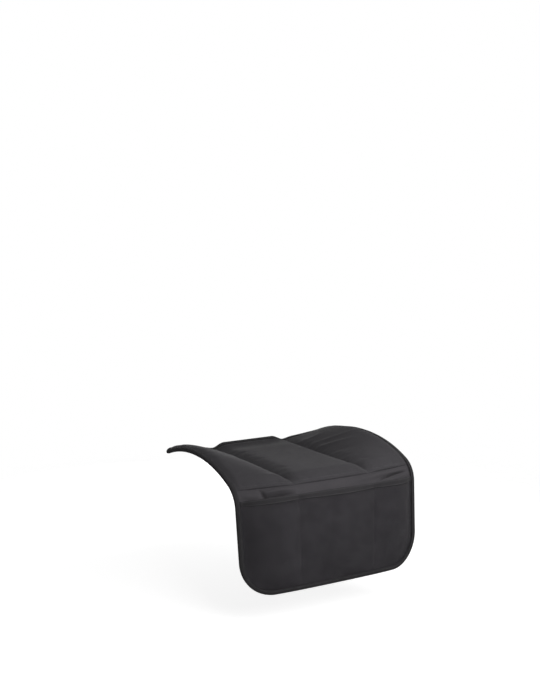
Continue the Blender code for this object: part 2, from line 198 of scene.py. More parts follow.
@dataclass(frozen=True)
class Drape:
    """How the flat pattern lies in use.

    The side edges hump and roll down at their outer side, and the middle lies level between them.
    All of it then falls at the front in a tight arc.
    """

    sizes: Sizes
    rear_rise: float = math.radians(22.9)
    front_fall: float = math.radians(27.0)
    flap_angle: float = math.radians(85.0)
    bend_lead: float = 0.015
    bend_length: float = 0.055
    middle_depth: float = 0.015
    middle_reach: float = 0.010
    rear_curl: float = 0.011
    curl_length: float = 0.064
    curl_notch: float = 0.030
    curl_outside: float = 0.35
    roll_width: float = 0.021
    roll_angle: float = math.radians(78.0)
    seam_bow: float = 0.018
    bottom_bow: float = 0.005
    bow_growth: float = 2.4
    taper: float = 0.006
    step: float = 0.00025

    @property
    def bend_start(self) -> float:
        """Cloth length at which the arc over the front begins."""
        return self.sizes.panel_length - self.bend_lead

    def on_flap(self, s: Array) -> Array:
        """Share of the flap that lies above each cloth length."""
        return np.clip((s - self.sizes.panel_length) / self.sizes.flap_length, 0.0, 1.0)

    def fall(self, s: Array, radius: float, start_angle: float) -> tuple[Array, Array]:
        """Arc at the front, r (cos a - cos a0), and the straight fall after it.

        Args:
            s: Cloth lengths.
            radius: Radius of the arc.
            start_angle: Slope at which the arc begins.

        Returns:
            y and z from the arc's start.
        """
        on_bend = np.clip(s - self.bend_start, 0.0, self.bend_length)
        on_fall = np.clip(s - self.bend_start - self.bend_length, 0.0, None)
        angle = on_bend / radius + start_angle
        y = -radius * (np.sin(angle) - math.sin(start_angle)) - math.cos(self.flap_angle) * on_fall
        z = radius * (np.cos(angle) - math.cos(start_angle)) - math.sin(self.flap_angle) * on_fall
        return y, z

    def side_line(self, s: Array) -> tuple[Array, Array]:
        """Side edge seen from the side: one long arc over the hump, then the fall.

        Args:
            s: Cloth lengths.

        Returns:
            y and z from the rear end of the edge.
        """
        radius = self.bend_start / (self.rear_rise + self.front_fall)
        hump = np.clip(s, 0.0, self.bend_start) / radius - self.rear_rise
        bend_radius = self.bend_length / (self.flap_angle - self.front_fall)
        y, z = self.fall(s, bend_radius, self.front_fall)
        y = y - radius * (np.sin(hump) + math.sin(self.rear_rise))
        return y, z + radius * (np.cos(hump) - math.cos(self.rear_rise))

    def middle_line(self, s: Array) -> tuple[Array, Array]:
        """Middle seen from the side: a level stretch, then the fall.

        Args:
            s: Cloth lengths.

        Returns:
            y and z from the rear end of the side edge.
        """
        y, z = self.fall(s, self.bend_length / self.flap_angle, 0.0)
        level = np.clip(s, 0.0, self.bend_start) / self.bend_start
        start = self.middle_reach
        return y + start - (self.bend_start + start) * level, z - self.middle_depth

    def bow(self, s: Array) -> Array:
        """How far the middle is pushed ahead of the side edges.

        Args:
            s: Cloth lengths.

        Returns:
            The distance at each cloth length.
        """
        on_panel = np.clip(s / self.sizes.panel_length, 0.0, 1.0)
        grown = self.seam_bow * np.sin(QUARTER * on_panel**self.bow_growth)
        return grown - (self.seam_bow - self.bottom_bow) * self.on_flap(s)

    def side_roll(self, side: Array, s: Array) -> tuple[Array, Array]:
        """Where the cloth lies that rolls down at the side edges.

        A width w that turns through the angle a reaches w sin a / a across and w (1 - cos a) / a
        down. The angle is full at the rear edge and gone at the front seam.

        Args:
            side: Distances from the middle of the mat.
            s: Cloth lengths.

        Returns:
            How far across each place lies, and how far down.
        """
        rolled = np.clip(side - self.sizes.half + self.roll_width, 0.0, None)
        fade = 1.0 - smooth(s / self.sizes.panel_length)
        bend = np.maximum(rolled / self.roll_width * self.roll_angle * fade, 1e-9)
        return side - rolled + rolled * np.sin(bend) / bend, rolled * (1.0 - np.cos(bend)) / bend

    def form(self, x: Array, s: Array) -> Array:
        """The draped surface between the upper and the lower cloths.

        It turns from the middle line to the side line between channel and side edge, and the side
        edges roll down. The rear edge curls up, but not at the channels and less outside them, and
        the flap narrows downwards.

        Args:
            x: Places across the mat.
            s: Cloth lengths.

        Returns:
            Points, with x, y and z on the last axis.
        """
        half, channel = self.sizes.half, self.sizes.channel
        side = np.abs(x)
        side_y, side_z = self.side_line(s)
        middle_y, middle_z = self.middle_line(s)
        turn = smooth((side - channel) / (half - channel))
        share = np.where(side < channel, 1.0, self.curl_outside * (1.0 - turn))
        raised = smooth(np.abs(side - channel) / self.curl_notch) * share
        curl = self.rear_curl * np.clip(1.0 - s / self.curl_length, 0.0, 1.0) ** 2 * raised
        across, sunk = self.side_roll(side, s)
        across = np.sign(x) * across * (1.0 - self.taper / half * self.on_flap(s))
        y = middle_y + (side_y - middle_y) * turn - self.bow(s) * (1.0 - (x / half) ** 2)
        z = middle_z + (side_z - middle_z) * turn + curl - sunk
        return np.stack([across, y, z], axis=-1)

    def normal(self, x: Array, s: Array) -> Array:
        """Unit normal of the draped surface, up on the panel and forward on the flap.

        Args:
            x: Places across the mat.
            s: Cloth lengths.

        Returns:
            Unit vectors.
        """
        across = self.form(x + self.step, s) - self.form(x - self.step, s)
        along = self.form(x, s + self.step) - self.form(x, s - self.step)
        n = np.cross(along, across)
        return n / np.linalg.norm(n, axis=-1, keepdims=True)

    def lay(self, x: Array, s: Array, height: Array | float) -> Array:
        """Points that stand a height off the draped surface, in the mat's own frame.

        Args:
            x: Places across the mat.
            s: Cloth lengths.
            height: Height off the surface.

        Returns:
            Points with the origin under the middle of the panel.
        """
        x, s = np.broadcast_arrays(np.asarray(x, float), np.asarray(s, float))
        raised = np.broadcast_to(np.asarray(height, float), x.shape)[..., None]
        origin = self.form(np.array(0.0), np.array(self.sizes.panel_length / 2))
        origin = origin - np.array([0.0, 0.0, self.sizes.gap / 2 + self.sizes.backing])
        return self.form(x, s) + self.normal(x, s) * raised - origin


@dataclass(frozen=True)
class Pattern:
    """The flat pattern's outline and the grids that are cut from it."""

    sizes: Sizes
    near_channel: tuple[float, ...] = (-8.5, -5.5, -3.2, -1.5, 0.0, 1.5, 3.2, 5.5, 8.5)
    rear_turn: int = 12
    bottom_turn: int = 20

    def edge_distance(self, x: Array, s: Array) -> Array:
        """Distance from the outline, a rectangle with round corners.

        Args:
            x: Places across the mat.
            s: Cloth lengths.

        Returns:
            The distance at each place.
        """
        z = self.sizes
        from_side = z.half - np.abs(x)
        distance = np.minimum(from_side, np.minimum(s, z.length - s))
        for radius, end, way in z.corners:
            from_end = way * (s - end)
            in_corner = (from_side < radius) & (from_end < radius)
            to_arc = radius - np.hypot(radius - from_side, radius - from_end)
            distance = np.where(in_corner, to_arc, distance)
        return distance

    def grid(self, rows: Array, cell: float) -> tuple[Array, Array]:
        """Flat x and s of a cloth that follows the outline, with columns denser at the channels.

        Args:
            rows: Cloth lengths of the rows.
            cell: Usual distance between columns.

        Returns:
            x and s, as rows by columns.
        """
        z = self.sizes
        near = np.array(self.near_channel) / 1000.0
        inner_count = max(2, round((z.channel + near[0]) / cell))
        outer_count = max(2, round((z.half - z.channel - near[-1]) / cell))
        inner = np.linspace(0.0, z.channel + near[0], inner_count, endpoint=False)
        fixed = np.concatenate([inner, z.channel + near])
        half = np.full(np.shape(rows), z.half - z.inset)
        for radius, end, way in z.corners:
            arc = radius - z.inset
            rest = np.clip(radius - way * (rows - end), 0.0, arc)
            half = half - arc + np.sqrt(arc**2 - rest**2)
        shares = np.linspace(0.0, 1.0, outer_count + 1)[1:]
        outer = fixed[-1] + (half[:, None] - fixed[-1]) * shares
        right = np.concatenate([np.broadcast_to(fixed, (len(rows), len(fixed))), outer], axis=1)
        x = np.concatenate([-right[:, :0:-1], right], axis=1)
        return x, np.broadcast_to(rows[:, None], x.shape).copy()

    def rows(self, first: float, last: float, cell: float) -> Array:
        """Cloth lengths of rows between two places, dense in the round corners.

        Args:
            first: Cloth length of the first row, 0 for the rear edge.
            last: Cloth length of the last row, the mat's length for the bottom edge.
            cell: Usual distance between rows.

        Returns:
            The cloth lengths, rising.
        """
        z = self.sizes
        head = tail = np.array([])
        if first <= 0.0:
            first = z.rear_radius
            turn = np.linspace(0.0, QUARTER, self.rear_turn + 1)[:-1]
            head = z.inset + (z.rear_radius - z.inset) * (1.0 - np.cos(turn))
        if last >= z.length:
            last = z.length - z.bottom_radius
            turn = np.linspace(0.0, QUARTER, self.bottom_turn + 1)[1:]
            tail = last + (z.bottom_radius - z.inset) * np.sin(turn)
        body = np.linspace(first, last, max(2, round((last - first) / cell)) + 1)
        return np.concatenate([head, body, tail])

    def outline(self, cell: float) -> Array:
        """The outline once round from the middle of the rear edge, evenly spaced.

        Each straight side is followed by a quarter turn, centre + r (sin a, -cos a).

        Args:
            cell: Distance between points.

        Returns:
            Rows of x, s, and the inward direction in x and s.
        """
        z = self.sizes
        h, r, b, end = z.half, z.rear_radius, z.bottom_radius, z.length
        sides = (
            ((0.0, 0.0), (h - r, 0.0), (0.0, 1.0), (h - r, r), r),
            ((h, r), (h, end - b), (-1.0, 0.0), (h - b, end - b), b),
            ((h - b, end), (b - h, end), (0.0, -1.0), (b - h, end - b), b),
            ((-h, end - b), (-h, r), (1.0, 0.0), (r - h, r), r),
            ((r - h, 0.0), (0.0, 0.0), (0.0, 1.0), (0.0, 0.0), 0.0),
        )
        runs: list[Array] = []
        for number, (start, stop, inward, centre, radius) in enumerate(sides):
            n = max(1, round(math.dist(start, stop) / cell))
            t = np.linspace(0.0, 1.0, n, endpoint=False)[:, None]
            points = np.array(start) + (np.array(stop) - np.array(start)) * t
            runs.append(np.hstack([points, np.tile(inward, (n, 1))]))
            if radius > 0.0:
                n = max(4, round(radius * QUARTER / cell))
                angle = number * QUARTER + np.linspace(0.0, QUARTER, n, endpoint=False)
                out = np.stack([np.sin(angle), -np.cos(angle)], axis=1)
                runs.append(np.hstack([np.array(centre) + radius * out, -out]))
        return np.vstack(runs)


# Mesh making


def add_piece(name: str, points: Array, faces: Array, flat: Array, material: Cloth) -> Piece:
    """Make one mesh object at the origin, with the flat pattern as its cloth map.

    Args:
        name: Name of the piece.
        points: Points, with x, y and z on the last axis.
        faces: Four-sided faces, one per row.
        flat: Flat x and s of each point.
        material: The cloth that it is made of.

    Returns:
        The new object.
    """
    mesh = bpy.data.meshes.new(name)
    mesh.from_pydata(points.reshape(-1, 3).tolist(), [], faces.tolist())
    mesh.update()
    loops = np.zeros(len(mesh.loops), dtype=np.int32)
    mesh.loops.foreach_get("vertex_index", loops)
    layer = mesh.uv_layers.new(name=CLOTH_MAP)
    layer.uv.foreach_set("vector", flat.reshape(-1, 2)[loops].astype(np.float32).ravel())
    mesh.shade_smooth()
    mesh.materials.append(material)
    piece = bpy.data.objects.new(name, mesh)
    bpy.context.scene.collection.objects.link(piece)
    return piece


def add_cloth(name: str, x: Array, s: Array, low: Array, high: Array, material: Cloth) -> Piece:
    """Make a closed cloth from its under and upper points over one flat grid.

    Args:
        name: Name of the piece.
        x: Flat x of the grid.
        s: Flat s of the grid.
        low: Points of the under face.
        high: Points of the upper face.
        material: The cloth that it is made of.

    Returns:
        The new object.
    """
    rows, cols = x.shape
    count = x.size
    index = np.arange(count).reshape(rows, cols)
    quads = np.stack([index[:-1, :-1], index[1:, :-1], index[1:, 1:], index[:-1, 1:]], axis=-1)
    quads = quads.reshape(-1, 4)
    here = np.concatenate([index[0, :-1], index[:-1, -1], index[-1, :0:-1], index[:0:-1, 0]])
    there = np.roll(here, -1)
    rim = np.stack([here, here + count, there + count, there], axis=1)
    flat = np.stack([x, s], axis=-1)
    faces = np.vstack([quads[:, ::-1], quads + count, rim])
    return add_piece(name, np.stack([low, high]), faces, np.stack([flat, flat]), material)


def add_sweep(name: str, sections: Array, flat: Array, closed: bool, material: Cloth) -> Piece:
    """Make a solid from closed section outlines that follow each other.

    Args:
        name: Name of the piece.
        sections: Points, as sections by outline points by three.
        flat: Flat x and s of those points.
        closed: True if the last section joins the first; otherwise both ends get a cap.
        material: The cloth that it is made of.

    Returns:
        The new object.
    """
    count, size = sections.shape[:2]
    index = np.arange(count * size).reshape(count, size)
    index = np.hstack([index, index[:, :1]])
    here = index if closed else index[:-1]
    there = np.roll(index, -1, axis=0) if closed else index[1:]
    faces = np.stack([here[:, :-1], here[:, 1:], there[:, 1:], there[:, :-1]], axis=-1)
    faces = faces.reshape(-1, 4)
    if not closed:
        k = np.arange(size // 2 - 1)
        cap = np.stack([k, size - 1 - k, size - 2 - k, k + 1], axis=1)
        faces = np.vstack([faces, cap, cap[:, ::-1] + (count - 1) * size])
    return add_piece(name, sections, faces, flat, material)


# Shader nodes


@dataclass
class Nodes:
    """Adds shader nodes to a tree and joins them, in short calls."""

    tree: Tree

    def feed(self, socket: Socket, value: object) -> None:
        """Join a value to an input, or set the input to it.

        Args:
            socket: The input.
            value: A socket of another node, or a plain value.
        """
        if isinstance(value, bpy.types.NodeSocket):
            self.tree.links.new(value, socket)
        else:
            socket.default_value = value

    def add(self, kind: str, *values: object, **settings: object) -> Node:
        """Add one node.

        Args:
            kind: Blender's name of the node type.
            values: Values or sockets for its first inputs, in their order.
            settings: Properties to set on it.

        Returns:
            The new node.
        """
        node = self.tree.nodes.new(kind)
        for key, value in settings.items():
            setattr(node, key, value)
        for socket, value in zip(node.inputs, values):
            self.feed(socket, value)
        return node

    def math(self, operation: str, a: object, b: object = 0.0, c: object = 0.0) -> Socket:
        """Output of a Math node."""
        return self.add("ShaderNodeMath", a, b, c, operation=operation).outputs[0]

    def ramp(self, value: object, low: float, high: float, *span: float) -> Socket:
        """Value mapped smoothly from the range low to high to a span, usually 0 to 1."""
        values = (value, low, high, *(span or (0.0, 1.0)))
        return self.add("ShaderNodeMapRange", *values, interpolation_type="SMOOTHSTEP").outputs[0]

    def split(self, vector: Socket) -> bpy.types.NodeOutputs:
        """The three parts of a vector."""
        return self.add("ShaderNodeSeparateXYZ", vector).outputs

    def noise(self, place: Socket, scale: float, detail: float, roughness: float) -> Socket:
        """Grey output of a Noise Texture.

        Args:
            place: The coordinates.
            scale: Waves per metre.
            detail: Octaves.
            roughness: Share of the fine octaves.

        Returns:
            The noise, 0 to 1.
        """
        node = self.add("ShaderNodeTexNoise", place)
        for key, value in (("Scale", scale), ("Detail", detail), ("Roughness", roughness)):
            node.inputs[key].default_value = value
        return node.outputs["Fac"]

    def mix(self, share: object, a: object, b: object) -> Socket:
        """Mix two colours.

        Args:
            share: Share of the second colour.
            a: First colour.
            b: Second colour.

        Returns:
            The mixed colour.
        """
        node = self.add("ShaderNodeMix", share, data_type="RGBA")
        self.feed(node.inputs[6], a)
        self.feed(node.inputs[7], b)
        return node.outputs[2]


def new_group(
    name: str, pitch: float | None, results: Sequence[str]
) -> tuple[Tree, Nodes, Node, Node]:
    """Start a shader node group that takes a Place, and a Pitch if one is given.

    Args:
        name: Name of the group.
        pitch: Usual pitch of its pattern, or None.
        results: Names of its outputs, all of them plain values.

    Returns:
        The tree, its node helper, and its input and output nodes.
    """
    tree = bpy.data.node_groups.new(name, "ShaderNodeTree")
    tree.interface.new_socket("Place", in_out="INPUT", socket_type="NodeSocketVector")
    if pitch is not None:
        socket = tree.interface.new_socket("Pitch", in_out="INPUT", socket_type="NodeSocketFloat")
        socket.default_value = pitch
    for label in results:
        tree.interface.new_socket(label, in_out="OUTPUT", socket_type="NodeSocketFloat")
    nodes = Nodes(tree)
    return tree, nodes, nodes.add("NodeGroupInput"), nodes.add("NodeGroupOutput")


def weave_group() -> Tree:
    """Plain weave: threads that pass over and under each other.

    With U and V in thread pitches, a lengthwise thread's height is |sin πU| (1 + cos π(V + ⌊U⌋)) / 2
    and a crosswise one's is |sin πV| (1 - cos π(U + ⌊V⌋)) / 2. The higher of the two shows.

    Returns:
        A group with Height, 0 to 1, and Lengthwise, 1 where a lengthwise thread shows.
    """
    tree, n, ins, outs = new_group("weave", 0.001, ("Height", "Lengthwise"))
    place, pitch = n.split(ins.outputs["Place"]), ins.outputs["Pitch"]
    u, v = n.math("DIVIDE", place[0], pitch), n.math("DIVIDE", place[1], pitch)

    def thread(a: Socket, b: Socket, sign: float) -> Socket:
        """Height of one set of threads.

        Args:
            a: Coordinate along which they lie side by side.
            b: Coordinate along each thread.
            sign: 1 for the lengthwise set, -1 for the crosswise one.

        Returns:
            The height, 0 to 1.
        """
        across = n.math("ABSOLUTE", n.math("SINE", n.math("MULTIPLY", a, math.pi)))
        step = n.math("ADD", b, n.math("FLOOR", a))
        wave = n.math("COSINE", n.math("MULTIPLY", step, math.pi))
        return n.math("MULTIPLY", across, n.math("MULTIPLY_ADD", wave, 0.5 * sign, 0.5))

    lengthwise, crosswise = thread(u, v, 1.0), thread(v, u, -1.0)
    n.feed(outs.inputs["Height"], n.math("MAXIMUM", lengthwise, crosswise))
    n.feed(outs.inputs["Lengthwise"], n.math("GREATER_THAN", lengthwise, crosswise))
    return tree


def cell_group() -> Tree:
    """Staggered round cells, for the net's holes and the grip dots.

    The distance is to the nearest point of two lattices, p by p√3, half a step apart.

    Returns:
        A group with Distance, in metres, from the nearest cell's middle.
    """
    tree, n, ins, outs = new_group("cells", 0.002, ("Distance",))
    place, pitch = n.split(ins.outputs["Place"]), ins.outputs["Pitch"]
    tall = n.math("MULTIPLY", pitch, math.sqrt(3.0))

    def lattice(shift: float) -> Socket:
        """Distance to the nearest point of one of the lattices.

        Args:
            shift: Shift of the lattice, in steps.

        Returns:
            The distance, in metres.
        """
        parts = []
        for axis, size in ((0, pitch), (1, tall)):
            at = n.math("ADD", n.math("DIVIDE", place[axis], size), shift)
            off = n.math("SUBTRACT", n.math("FRACT", at), 0.5)
            parts.append(n.math("POWER", n.math("MULTIPLY", off, size), 2.0))
        return n.math("SQRT", n.math("ADD", *parts))

    n.feed(outs.inputs["Distance"], n.math("MINIMUM", lattice(0.0), lattice(0.5)))
    return tree


def wear_group() -> Tree:
    """Slow and fine unevenness of a dyed cloth.

    Returns:
        A group with Patches, 0 to 1, in soft areas a few centimetres wide, and Lint, 0 to 1, in
        small specks.
    """
    tree, n, ins, outs = new_group("unevenness", None, ("Patches", "Lint"))
    place = ins.outputs["Place"]
    n.feed(outs.inputs["Patches"], n.noise(place, scale=22.0, detail=4.0, roughness=0.55))
    specks = n.noise(place, scale=900.0, detail=2.0, roughness=0.6)
    n.feed(outs.inputs["Lint"], n.ramp(specks, low=0.62, high=0.78))
    return tree


# Cloth finishes


class Surface(Enum):
    """Kinds of cloth surface."""

    WOVEN = "woven"
    COATED = "coated"
    NET = "net"
    THREAD = "thread"


@dataclass(frozen=True)
class Finish:
    """One cloth finish: its colours, its threads and how it takes the light.

    Between the threads the cloth has the share shade_between_threads of its colour, a painted shade
    in the hollows of the weave, and a lengthwise thread is lifted by thread_tone. A hole of the net
    and a grip dot have edges that are given as shares of the pitch. The cover has painted shade and
    painted light: it is darker at the rear and lighter at the front, by the share gradient.
    """

    name: str
    kind: Surface
    colour: Triple
    lift: Triple
    roughness: float = 0.75
    specular: float = 0.05
    sheen: float = 0.03
    pitch: float = 0.0009
    depth: float = 0.00012
    fade: float = 0.0
    painted_shade_length: float = 0.34
    # painted shade in the hollows between the threads, as a share of the colour
    shade_between_threads: float = 0.72
    thread_tone: float = 0.35
    hole_edge: tuple[float, float] = (0.30, 0.42)
    dot_edge: tuple[float, float] = (0.15, 0.24)
    dot_tone: float = 0.55
    ground_pitch: float = 0.0011
    ground_share: float = 0.25
    patch_edge: tuple[float, float] = (0.30, 0.70)
    thread_edge: tuple[float, float] = (0.15, 0.75)
    rough_edge: tuple[float, float] = (0.25, 0.75)
    smoother: float = 0.05
    rougher: float = 0.06
    lint_share: float = 0.12
    lint_tone: float = 2.2
    lint_white: float = 0.02
    bump_strength: float = 0.6
    sheen_roughness: float = 0.45

    def toned(self, colour: Triple, share: float, plus: float = 0.0) -> tuple[float, ...]:
        """A colour times a share, with its alpha."""
        return tuple(share * value + plus for value in colour) + (1.0,)

    def painted_shade(self, n: Nodes, place: Socket, colour: Socket) -> Socket:
        """The colour with painted shade at the rear edge and painted light at the front seam.

        Args:
            n: The material's node helper.
            place: The flat pattern's coordinates.
            colour: The colour to shade.

        Returns:
            The colour with its painted shade and light.
        """
        # painted shade and light: the colour is scaled from darker at the rear edge to lighter at the
        # front seam
        shade_scale = n.ramp(n.split(place)[1], 0.0, self.painted_shade_length, 1.0 - self.fade, 1.0 + self.fade)
        scaled = n.add("ShaderNodeVectorMath", colour, operation="SCALE")
        n.feed(scaled.inputs["Scale"], shade_scale)
        return scaled.outputs[0]

    def material(self, groups: dict[str, Tree]) -> Cloth:
        """Build the material.

        Args:
            groups: The shared node groups by name.

        Returns:
            The new material.
        """
        material = bpy.data.materials.new(self.name)
        material.use_nodes = True
        n = Nodes(material.node_tree)
        shader = material.node_tree.nodes["Principled BSDF"]
        if self.kind is Surface.THREAD:
            place = n.add("ShaderNodeTexCoord").outputs["Object"]
        else:
            place = n.add("ShaderNodeUVMap", uv_map=CLOTH_MAP).outputs[0]

        def group(key: str, *pitch: float) -> bpy.types.NodeOutputs:
            """Places one shared group, fed with the cloth's own place and pitch."""
            return n.add("ShaderNodeGroup", place, *pitch, node_tree=groups[key]).outputs

        uneven = group("unevenness")
        light = self.toned(self.lift, 1.0)
        patches = n.ramp(uneven["Patches"], *self.patch_edge)
        colour = n.mix(patches, self.toned(self.colour, 1.0), light)
        # painted shade at the rear and painted light at the front, where a share for it is set
        if self.fade > 0.0:
            colour = self.painted_shade(n, place, colour)
        if self.kind is Surface.NET:
            edge = (share * self.pitch for share in self.hole_edge)
            height = n.ramp(group("cells", self.pitch)["Distance"], *edge)
            n.feed(shader.inputs["Alpha"], height)
        elif self.kind is Surface.COATED:
            edge = (share * self.pitch for share in self.dot_edge)
            dots = n.ramp(group("cells", self.pitch)["Distance"], *edge, 1.0, 0.0)
            ground = group("weave", self.ground_pitch)["Height"]
            height = n.math("MULTIPLY_ADD", ground, self.ground_share, dots)
            colour = n.mix(dots, colour, self.toned(self.lift, self.dot_tone))
        else:
            weave = group("weave", self.pitch)
            height = weave["Height"]
            # painted shade: the cloth is darker where the weave is low, in the hollows between its
            # threads
            low = self.toned(self.colour, self.shade_between_threads)
            colour = n.mix(n.ramp(height, *self.thread_edge), low, colour)
            colour = n.mix(n.math("MULTIPLY", weave["Lengthwise"], self.thread_tone), colour, light)
        lint = n.math("MULTIPLY", uneven["Lint"], self.lint_share)
        pale = self.toned(self.lift, self.lint_tone, self.lint_white)
        n.feed(shader.inputs["Base Color"], n.mix(lint, colour, pale))
        spread = (self.roughness - self.smoother, self.roughness + self.rougher)
        rough = n.ramp(uneven["Patches"], *self.rough_edge, *spread)
        n.feed(shader.inputs["Roughness"], rough)
        bump = n.add("ShaderNodeBump")
        bump.inputs["Strength"].default_value = self.bump_strength
        bump.inputs["Distance"].default_value = self.depth
        n.feed(bump.inputs["Height"], height)
        n.feed(shader.inputs["Normal"], bump.outputs[0])
        shader.inputs["Metallic"].default_value = 0.0
        shader.inputs["Specular IOR Level"].default_value = self.specular
        shader.inputs["Sheen Weight"].default_value = self.sheen
        shader.inputs["Sheen Roughness"].default_value = self.sheen_roughness
        return material


FINISHES = (
    # the cover cloth carries painted shade at the rear and painted light at the front
    Finish(
        "cover_cloth", Surface.WOVEN, (0.0425, 0.0404, 0.0438), (0.0502, 0.0480, 0.0518),
        roughness=0.80, fade=0.30,
    ),
    Finish(
        "flap_cloth", Surface.WOVEN, (0.0552, 0.0520, 0.0565), (0.0655, 0.0617, 0.0668),
        roughness=0.82,
    ),
    Finish(
        "grip_cloth", Surface.COATED, (0.046, 0.045, 0.047), (0.058, 0.057, 0.059),
        roughness=0.82, specular=0.15, sheen=0.02, pitch=0.0050, depth=0.0004,
    ),
    Finish(
        "pocket_net", Surface.NET, (0.0420, 0.0395, 0.0442), (0.0565, 0.0529, 0.0590),
        specular=0.06, pitch=0.0017, depth=0.0002,
    ),
    Finish(
        "binding_tape", Surface.WOVEN, (0.025, 0.0238, 0.0252), (0.034, 0.0325, 0.0345),
        sheen=0.02, pitch=0.0007, depth=0.00015,
    ),
    Finish(
        "hem_tape", Surface.WOVEN, (0.0290, 0.0275, 0.0295), (0.0380, 0.0361, 0.0386),
        sheen=0.02, pitch=0.0007, depth=0.00015,
    ),
    Finish(
        "sewing_thread", Surface.THREAD, (0.060, 0.058, 0.062), (0.085, 0.083, 0.088),
        roughness=0.60, specular=0.25, sheen=0.05, pitch=0.0004, depth=0.00006,
    ),
)


def make_finishes() -> dict[str, Cloth]:
    """The shared groups, and every material by its name."""
    groups = {"weave": weave_group(), "cells": cell_group(), "unevenness": wear_group()}
    return {finish.name: finish.material(groups) for finish in FINISHES}


# Pieces


@dataclass
class Workshop:
    """What every sub-assembly shares: the drape, the pattern and the cloths."""

    sizes: Sizes
    drape: Drape
    pattern: Pattern
    cloths: dict[str, Cloth]

    def finish_piece(self, piece: Piece, node: str) -> Piece:
        """Let a piece ride on the body, stand for its solid and report itself.

        Args:
            piece: The piece.
            node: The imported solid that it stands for.

        Returns:
            The same piece.
        """
        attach(piece, BODY)
        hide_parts(node)
        mesh = piece.data
        LOG.info("%s: %d points, %d faces", piece.name, len(mesh.vertices), len(mesh.polygons))
        return piece

    def cut(
        self, name: str, node: str, cloth: str, flat: tuple[Array, Array], *faces: Array | float
    ) -> Piece:
        """Cut one cloth from its flat grid, drape it and finish it.

        Args:
            name: Name of the piece.
            node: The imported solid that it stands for.
            cloth: Name of its cloth.
            flat: Flat x and s of its grid.
            faces: Heights of its under and of its upper face over the drape.

        Returns:
            The piece.
        """
        low, high = (self.drape.lay(*flat, height) for height in faces)
        return self.finish_piece(add_cloth(name, *flat, low, high, self.cloths[cloth]), node)

    def tape(
        self, name: str, node: str, cloth: str, rings: list[tuple[Array, ...]], closed: bool
    ) -> Piece:
        """Carry a tape's section along its path, drape it and finish it.

        Args:
            name: Name of the piece.
            node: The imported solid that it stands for.
            cloth: Name of its cloth.
            rings: For each place of the section: flat x, flat s, height, and the two cloth
                coordinates, all along the path.
            closed: True if the path's end joins its start.

        Returns:
            The piece.
        """
        sections = np.stack([self.drape.lay(*ring[:3]) for ring in rings], axis=1)
        flat = np.stack([np.stack(ring[3:], axis=-1) for ring in rings], axis=1)
        return self.finish_piece(add_sweep(name, sections, flat, closed, self.cloths[cloth]), node)


